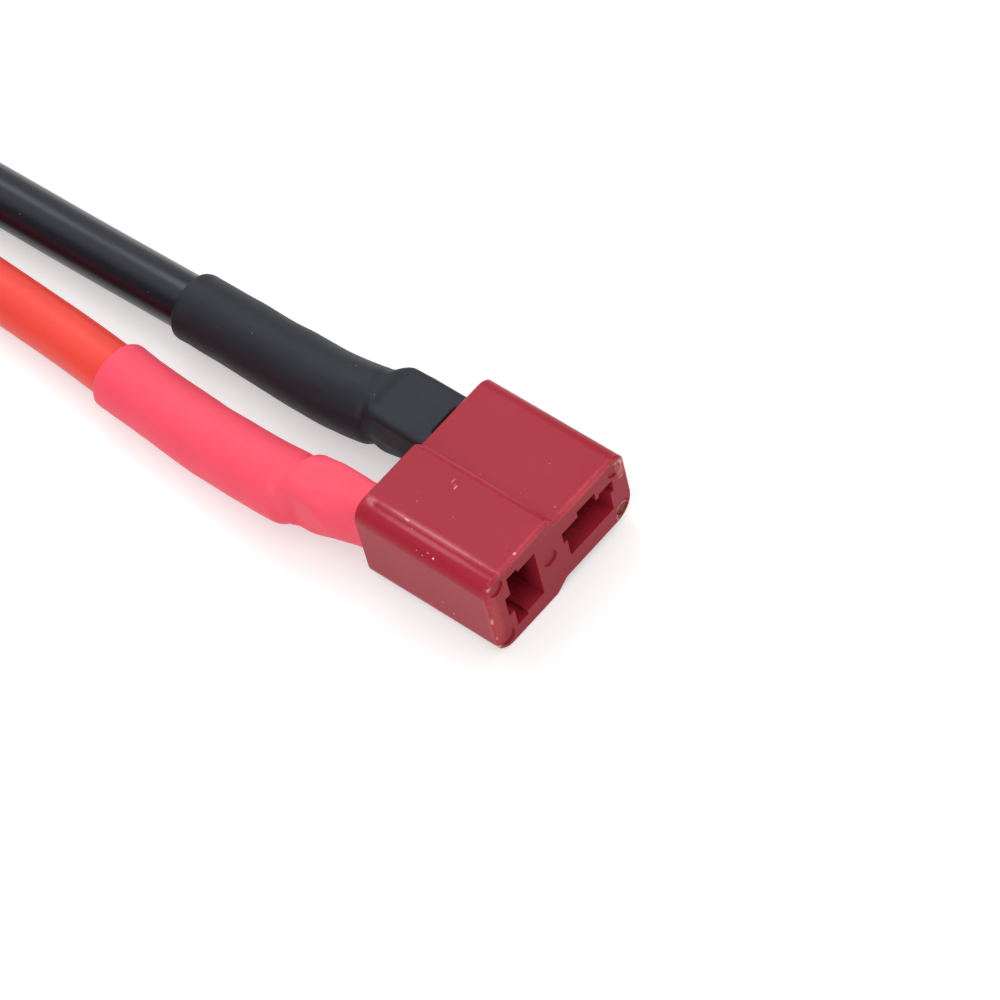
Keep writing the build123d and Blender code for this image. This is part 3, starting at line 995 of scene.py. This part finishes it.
class SoftEdges:
    """A copy of a CAD solid with its sharp edges softened, as moulded plastic has them."""

    WELD_MM = 0.001
    SEGMENTS = 3
    # Edges that turn less than the first angle vanish, and those above the second are softened
    FLAT_DEGREES, SHARP_DEGREES = 0.5, 28

    def __init__(self, node: str, width_mm: float) -> None:
        """Keeps what to soften.

        Args:
            node: The CAD node.
            width_mm: The softened edges' width.
        """
        self.node = node
        self.width = width_mm * MM

    def build(self, shop: MaterialShop, body: str, edges: str, slot: str) -> bpy.types.Object:
        """Makes the copy, and lets it stand for the CAD solid.

        Args:
            shop: The materials.
            body: The name of its material.
            edges: The name of the material of its softened edges.
            slot: Not used.

        Returns:
            The copy.
        """
        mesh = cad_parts[self.node].data.copy()
        shell = bmesh.new()
        shell.from_mesh(mesh)
        bmesh.ops.remove_doubles(shell, verts=shell.verts, dist=self.WELD_MM * MM)
        bmesh.ops.dissolve_limit(
            shell, angle_limit=math.radians(self.FLAT_DEGREES), verts=shell.verts, edges=shell.edges)
        shell.to_mesh(mesh)
        shell.free()
        piece = new_object(f"{self.node}_moulded", mesh)
        mesh.materials.clear()
        mesh.materials.append(shop.made[body])
        mesh.materials.append(shop.made[edges])
        bevel = piece.modifiers.new("soft", "BEVEL")
        bevel.width = self.width
        bevel.segments = self.SEGMENTS
        bevel.limit_method = "ANGLE"
        bevel.angle_limit = math.radians(self.SHARP_DEGREES)
        bevel.use_clamp_overlap = True
        # The softened edges take the second material, whose brighter red paints a highlight along them
        bevel.material = 1
        bevel.harden_normals = True
        piece = bake(piece)
        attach(piece, "root")
        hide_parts(self.node)
        return piece


@dataclass(frozen=True)
class CameraView:
    """The photograph's camera.

    Attributes:
        place: Where it stands.
        azimuth: Direction it looks from, in degrees, 0 looking along +Y.
        elevation: Its height above the horizon, in degrees.
        roll: Its turn about its own axis, in degrees.
        lens: Its focal length, in millimetres on a 36 mm sensor.
    """

    place: tuple[float, float, float] = (0.183785, -0.146143, 0.320356)
    azimuth: float = 52.334
    elevation: float = 53.072
    roll: float = 15.19
    lens: float = 192.3

    def build(self) -> bpy.types.Object:
        """Makes the camera and gives it to the scene.

        Returns:
            The camera.
        """
        turn, rise = math.radians(self.azimuth), math.radians(self.elevation)
        back = Vector((math.sin(turn) * math.cos(rise), -math.cos(turn) * math.cos(rise), math.sin(rise)))
        data = bpy.data.cameras.new("photo_camera")
        data.lens = self.lens
        data.sensor_width = 36.0
        data.clip_start = 0.01
        data.clip_end = 20.0
        camera = bpy.data.objects.new("photo_camera", data)
        camera.rotation_mode = "QUATERNION"
        camera.location = self.place
        level = (-back).to_track_quat("-Z", "Y")
        camera.rotation_quaternion = level @ Quaternion((0, 0, 1), math.radians(-self.roll))
        bpy.context.scene.collection.objects.link(camera)
        bpy.context.scene.camera = camera
        return camera


@dataclass(frozen=True)
class Lamp:
    """A square soft lamp.

    Attributes:
        name: Its name.
        place: Where it hangs.
        size: Its side.
        power: Its power, in watts.
    """

    name: str
    place: tuple[float, float, float]
    size: float
    power: float


class Studio:
    """The table, the lamps and the surroundings, a soft dome that is brightest overhead."""

    LAMPS = (
        Lamp("ceiling_lamp", (-0.38, 0.25, 0.65), 0.32, 0.95),
        Lamp("window", (0.15, -0.76, 0.41), 0.5, 3.0),
    )
    LAMP_AIM = (-0.03, 0.0, 0.0)
    TABLE_HALF = 1.5
    TABLE_CELLS = 8
    DOME_LEVEL = 1.2
    DOME_DARK = 0.15
    DOME_BRIGHT = 0.80
    # The dome's brightest direction, and the closeness to it over which it brightens
    DOME_SIDE = (0.0, 0.5, 0.866)
    BRIGHT_SPAN = (0.05, 0.6)
    # How far it dims again toward the far side, and over which directions
    FAR_SHADE = 0.5
    FAR_SPAN = (0.35, 0.75)
    GLOSSY_LIFT = 0.35

    def build(self, shop: MaterialShop) -> None:
        """Makes the whole set.

        Args:
            shop: The materials.
        """
        self._table(shop)
        for lamp in self.LAMPS:
            self._lamp(lamp)
        self._surroundings()
        scene = bpy.context.scene
        scene.view_settings.view_transform = "Standard"

    def _table(self, shop: MaterialShop) -> None:
        """Makes the table top.

        Args:
            shop: The materials.
        """
        shell = bmesh.new()
        bmesh.ops.create_grid(
            shell, x_segments=self.TABLE_CELLS, y_segments=self.TABLE_CELLS, size=self.TABLE_HALF,
            matrix=Matrix.Translation((0, 0, FLOOR_Z * MM)))
        mesh = bpy.data.meshes.new("table")
        shell.to_mesh(mesh)
        shell.free()
        mesh.materials.append(shop.made["table"])
        new_object("table", mesh)

    def _lamp(self, lamp: Lamp) -> None:
        """Makes one soft lamp that points at the socket.

        Args:
            lamp: Its facts.
        """
        data = bpy.data.lights.new(lamp.name, "AREA")
        data.shape = "SQUARE"
        data.size = lamp.size
        data.energy = lamp.power
        hung = bpy.data.objects.new(lamp.name, data)
        hung.location = lamp.place
        aim = Vector(self.LAMP_AIM) - Vector(lamp.place)
        hung.rotation_mode = "QUATERNION"
        hung.rotation_quaternion = aim.to_track_quat("-Z", "Y")
        bpy.context.scene.collection.objects.link(hung)

    def _surroundings(self) -> None:
        """Makes the world: white to the camera, and otherwise a dome that is brightest overhead."""
        world = bpy.data.worlds.new("soft_dome")
        bpy.context.scene.world = world
        world.use_nodes = True
        graph = Graph(world.node_tree)
        direction = graph.add("ShaderNodeTexCoord").outputs["Generated"]
        toward = graph.add("ShaderNodeVectorMath", {0: direction, 1: self.DOME_SIDE},
                           operation="DOT_PRODUCT").outputs["Value"]
        low, high = self.BRIGHT_SPAN
        bright = graph.add("ShaderNodeMapRange", {0: toward, 1: low, 2: high, 3: 0.0, 4: self.DOME_BRIGHT},
                           interpolation_type="SMOOTHSTEP").outputs[0]
        far = graph.add("ShaderNodeSeparateXYZ", {0: direction}).outputs[1]
        low, high = self.FAR_SPAN
        shade = graph.add("ShaderNodeMapRange", {0: far, 1: low, 2: high, 3: 1.0, 4: self.FAR_SHADE},
                          interpolation_type="SMOOTHSTEP").outputs[0]
        dome = graph.calc("MULTIPLY_ADD", bright, shade, self.DOME_DARK)
        dome = graph.calc("MULTIPLY", dome, self.DOME_LEVEL)
        rays = graph.add("ShaderNodeLightPath").outputs
        seen = graph.calc("ADD", rays["Is Camera Ray"], rays["Is Transmission Ray"], clamp=True)
        strength = graph.add("ShaderNodeMix", {0: seen, 2: dome, 3: 1.0}, data_type="FLOAT").outputs[0]
        lift = graph.calc("MULTIPLY_ADD", rays["Is Glossy Ray"], self.GLOSSY_LIFT, 1.0)
        strength = graph.calc("MULTIPLY", strength, lift)
        backdrop = graph.add("ShaderNodeBackground", {"Color": (1, 1, 1, 1), "Strength": strength})
        graph.add("ShaderNodeOutputWorld", {"Surface": backdrop.outputs[0]})


class Cable:
    """The whole cable's looks."""

    SLEEVES = (
        SleeveShape(Way.POSITIVE, End.SOCKET, "red", origin=(-13.1, -4.15, 0), across=(0, 0, -1),
                    out=(0, -1, 0), seat=1.45, length=27.7,
                    neck_radius=2.93, end_radius=2.80, slump=(0.0, -0.14, 0.0)),
        SleeveShape(Way.NEGATIVE, End.SOCKET, "black", origin=(-13.1, 3.4, 0), across=(0, 1, 0),
                    out=(0, 0, -1), seat=-0.35, length=27.1,
                    corner=0.4, flare=0.05, shoulder=0.6, splay=0.38, neck_dip=0.12, drop=0.25,
                    mouth_corner=2.0, mouth_gap=0.9, neck_radius=3.06, end_radius=2.84,
                    slump=(0.0, -0.18, 0.0)),
        SleeveShape(Way.POSITIVE, End.PLUG, "red", origin=(-57.0, -50.75, 0), across=(0, 0, -1),
                    out=(0, -1, 0), seat=0.35, length=29.2),
        SleeveShape(Way.NEGATIVE, End.PLUG, "black", origin=(-57.0, -43.2, 0), across=(0, 1, 0),
                    out=(0, 0, -1), seat=0.35, length=28.3,
                    corner=0.4, shoulder=0.6, splay=0.2, neck_dip=0.12, drop=0.25, mouth_corner=1.6),
    )
    # Colours of the marks: a pale pink for wear and for the painted highlights on the near top edge and the
    # step, a light pink for chips, a red for the painted highlights on the rims, and a near black red for
    # the painted shade in the openings
    WEAR_AND_HIGHLIGHT, CHIPPED = "#EE9AA4", "#FFC4C4"
    RIM_HIGHLIGHT, OPENING_SHADE = "#D24B59", "#56060A"
    # Share of the softened edges that is rubbed paler, and those edges' width in millimetres
    EDGE_WEAR = 0.2
    EDGE_WIDTH = 0.14
    # Worn, chipped and stained spots on the socket, and its painted light: shade in the openings,
    # highlights on the rims, the step and the near top edge
    SOCKET_SCUFFS_AND_PAINTED_LIGHT = (
        # Painted shade deep inside the two openings
        ScuffOrPaintedLight((-3.2, -4.15, 0.0), 2.2, OPENING_SHADE, 0.85, (1.0, 1.23, 1.36), ragged=1.2),
        ScuffOrPaintedLight((-3.2, 3.4, 0.0), 2.2, OPENING_SHADE, 0.85, (1.0, 1.45, 1.14), ragged=1.2),
        # Painted highlights along the rims of the mating face and along the step
        ScuffOrPaintedLight((0.0, -3.7, 4.2), 0.36, RIM_HIGHLIGHT, 0.60, (1.0, 10.5, 1.0), ragged=1.2),
        ScuffOrPaintedLight((0.0, 3.4, 3.4), 0.40, RIM_HIGHLIGHT, 0.65, (1.0, 9.5, 1.0), ragged=1.2),
        ScuffOrPaintedLight((0.0, -7.55, -0.4), 0.62, RIM_HIGHLIGHT, 0.55, (1.0, 1.0, 7.0), ragged=1.2),
        ScuffOrPaintedLight((-8.0, -0.32, 3.93), 0.38, RIM_HIGHLIGHT, 0.55, (26.0, 1.0, 1.0), ragged=1.2),
        ScuffOrPaintedLight((-8.0, -0.03, 3.57), 0.07, WEAR_AND_HIGHLIGHT, 0.35, (110.0, 1.0, 1.0), ragged=0.6),
        # Pale lines along the near top edge, painted highlights where the edge curves over together with
        # wear, then worn spots and chips along that edge
        ScuffOrPaintedLight((-6.2, -6.19, 4.3), 0.28, WEAR_AND_HIGHLIGHT, 0.20, (22.0, 1.0, 3.0), ragged=0.4),
        ScuffOrPaintedLight((-6.5, -6.19, 4.3), 0.09, WEAR_AND_HIGHLIGHT, 0.32, (66.0, 1.0, 3.0), ragged=1.6),
        ScuffOrPaintedLight((-6.2, -6.86, 4.25), 0.20, WEAR_AND_HIGHLIGHT, 0.20, (30.0, 1.0, 1.0), ragged=0.9),
        ScuffOrPaintedLight((-9.0, -6.25, 4.3), 0.10, CHIPPED, 0.7, (2.2, 0.6, 1.0)),
        ScuffOrPaintedLight((-12.3, -6.5, 4.25), 0.26, WEAR_AND_HIGHLIGHT, 0.35, (1.5, 1.2, 1.0)),
        ScuffOrPaintedLight((-5.3, -7.63, 3.8), 0.09, "#FFE0DC", 0.9, ragged=1.0),
        ScuffOrPaintedLight((-5.9, -7.52, 3.92), 0.06, CHIPPED, 0.55, (2.0, 1.0, 1.0)),
        ScuffOrPaintedLight((-6.3, -7.75, 3.6), 0.06, CHIPPED, 0.45, (2.2, 1.0, 1.0)),
        ScuffOrPaintedLight((-6.9, -7.7, 3.7), 0.05, CHIPPED, 0.4),
        # Chips and scratches on the top
        ScuffOrPaintedLight((-0.22, -4.12, 4.3), 0.08, "#FFD0CC", 0.85, (1.0, 1.6, 1.0)),
        ScuffOrPaintedLight((-0.03, -3.8, 4.3), 0.06, CHIPPED, 0.7, (1.0, 2.2, 1.0)),
        ScuffOrPaintedLight((-1.07, -3.96, 4.3), 0.04, WEAR_AND_HIGHLIGHT, 0.5),
        ScuffOrPaintedLight((-0.66, -4.56, 4.3), 0.05, WEAR_AND_HIGHLIGHT, 0.5),
        ScuffOrPaintedLight((-8.34, -1.62, 4.3), 0.03, WEAR_AND_HIGHLIGHT, 0.6, (1.3, 7.0, 1.0), ragged=3.0),
        ScuffOrPaintedLight((-7.8, -2.03, 4.3), 0.035, CHIPPED, 0.6, (1.3, 5.0, 1.0), ragged=3.0),
        ScuffOrPaintedLight((-8.0, -1.8, 4.3), 0.03, WEAR_AND_HIGHLIGHT, 0.4, (1.0, 4.0, 1.0), ragged=3.0),
        ScuffOrPaintedLight((-9.42, -4.53, 4.3), 0.05, WEAR_AND_HIGHLIGHT, 0.45, (1.0, 1.8, 1.0)),
        ScuffOrPaintedLight((-3.8, 0.7, 3.55), 0.05, WEAR_AND_HIGHLIGHT, 0.5),
        ScuffOrPaintedLight((-0.83, 1.16, 3.55), 0.06, WEAR_AND_HIGHLIGHT, 0.45),
        # The near front edge
        ScuffOrPaintedLight((0.0, -7.5, 3.75), 0.14, CHIPPED, 0.5, (1.0, 1.8, 1.0)),
        ScuffOrPaintedLight((0.0, -7.95, 0.1), 0.12, "#F2B4B4", 0.85, (1.0, 1.0, 3.2)),
        ScuffOrPaintedLight((0.0, -7.95, -2.1), 0.09, "#E89A9A", 0.7, (1.0, 1.0, 4.0)),
        ScuffOrPaintedLight((-0.1, -7.97, -3.25), 0.24, "#E8B98C", 0.85, (1.2, 1.0, 1.0)),
        ScuffOrPaintedLight((-4.2, -8.0, -2.1), 0.08, CHIPPED, 0.45, (1.2, 1.0, 1.5), ragged=2.5),
        ScuffOrPaintedLight((-5.2, -8.0, -1.3), 0.05, WEAR_AND_HIGHLIGHT, 0.5, (2.5, 1.0, 1.5), ragged=2.5),
        # The far top corner and the stained dish at the far bottom corner of the mating face
        ScuffOrPaintedLight((0.0, 7.45, 1.9), 0.62, "#DE8C86", 0.55, (1.0, 0.8, 1.3), ragged=1.2),
        ScuffOrPaintedLight((0.0, 7.35, 2.7), 0.34, "#E8A080", 0.75, (1.0, 1.3, 0.8), ragged=1.5),
        ScuffOrPaintedLight((0.0, 7.6, 2.45), 0.20, "#F6B8AC", 0.85, ragged=1.2),
        ScuffOrPaintedLight((0.0, 7.75, 1.9), 0.12, "#C84038", 0.8, (1.0, 1.0, 1.8), ragged=1.0),
        ScuffOrPaintedLight((0.0, 7.35, 0.95), 0.09, "#EE9C98", 0.7, (1.0, 3.5, 1.0), ragged=1.0),
        ScuffOrPaintedLight((-0.2, 6.85, -2.95), 0.62, "#71451F", 0.85, (2.0, 1.1, 1.0), ragged=0.8),
        ScuffOrPaintedLight((-0.3, 6.9, -2.9), 0.22, "#A85A40", 0.7, (2.0, 1.0, 1.0), ragged=1.5),
        ScuffOrPaintedLight((0.0, 6.85, -2.95), 0.07, "#DFA488", 0.5, (1.5, 1.0, 1.0), ring_mm=0.80),
        # Painted shade in a dark ring round the dish at the near bottom corner
        ScuffOrPaintedLight((0.0, -6.9, -2.95), 0.08, "#8A1C24", 0.6, (1.5, 1.0, 1.0), ring_mm=0.74, ragged=1.0),
    )

    def __init__(self, shop: MaterialShop) -> None:
        """Keeps the materials.

        Args:
            shop: The materials.
        """
        self.shop = shop
        self.leads = {
            Way.POSITIVE: Lead(Way.POSITIVE, "red", RED_ROUTE, RED_SEATS),
            Way.NEGATIVE: Lead(Way.NEGATIVE, "black", BLACK_ROUTE, BLACK_SEATS),
        }

    def build(self) -> None:
        """Makes every piece of the cable."""
        self._materials()
        jackets = {way: lead.build(self.shop) for way, lead in self.leads.items()}
        for shape in self.SLEEVES:
            line = self.leads[shape.way].centreline()
            Sleeve(shape, line).build(self.shop)
        softened = SoftEdges("socket_housing", self.EDGE_WIDTH)
        softened.build(self.shop, "socket_nylon", "nylon_edge_lit_and_worn", "red_nylon")
        softened = SoftEdges("plug_housing", self.EDGE_WIDTH)
        plug = softened.build(self.shop, "red_nylon", "nylon_edge_lit_and_worn", "red_nylon")
        self._metalwork()

    def _materials(self) -> None:
        """Makes every material."""
        shop = self.shop
        for finish in (NYLON, RED_SILICONE, BLACK_SILICONE, RED_SLEEVE, BLACK_SLEEVE):
            shop.moulded(finish)
        shop.moulded(NYLON, self.SOCKET_SCUFFS_AND_PAINTED_LIGHT, "socket_nylon")
        shop.moulded(NYLON_EDGE_LIT_AND_WORN, wear=self.EDGE_WEAR)
        shop.metal("plated_brass", "#E8C88A", "#B08A50", 0.26, 0.12)
        shop.metal("spring_steel", "#B8BABE", "#8C8E92", 0.30, 0.10)
        shop.metal("tinned_copper", "#C8BEB4", "#A08C7C", 0.34, 0.15)
        shop.metal("solder", "#BFC2C6", "#94969A", 0.38, 0.60)
        shop.floor()

    def _metalwork(self) -> None:
        """Gives the metal CAD nodes their materials."""
        finishes = {"contact": "plated_brass", "blade": "plated_brass", "spring": "spring_steel",
                    "solder": "solder"}
        for name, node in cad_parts.items():
            for word, material in finishes.items():
                if f"_{word}_" in name:
                    for slot in node.material_slots:
                        slot.material = self.shop.made[material]


def main() -> None:
    """Builds the camera, the cable and the set, in that order."""
    CameraView().build()
    shop = MaterialShop()
    Cable(shop).build()
    Studio().build(shop)


if __name__ == "__main__":
    logging.basicConfig(level=logging.INFO)
    main()
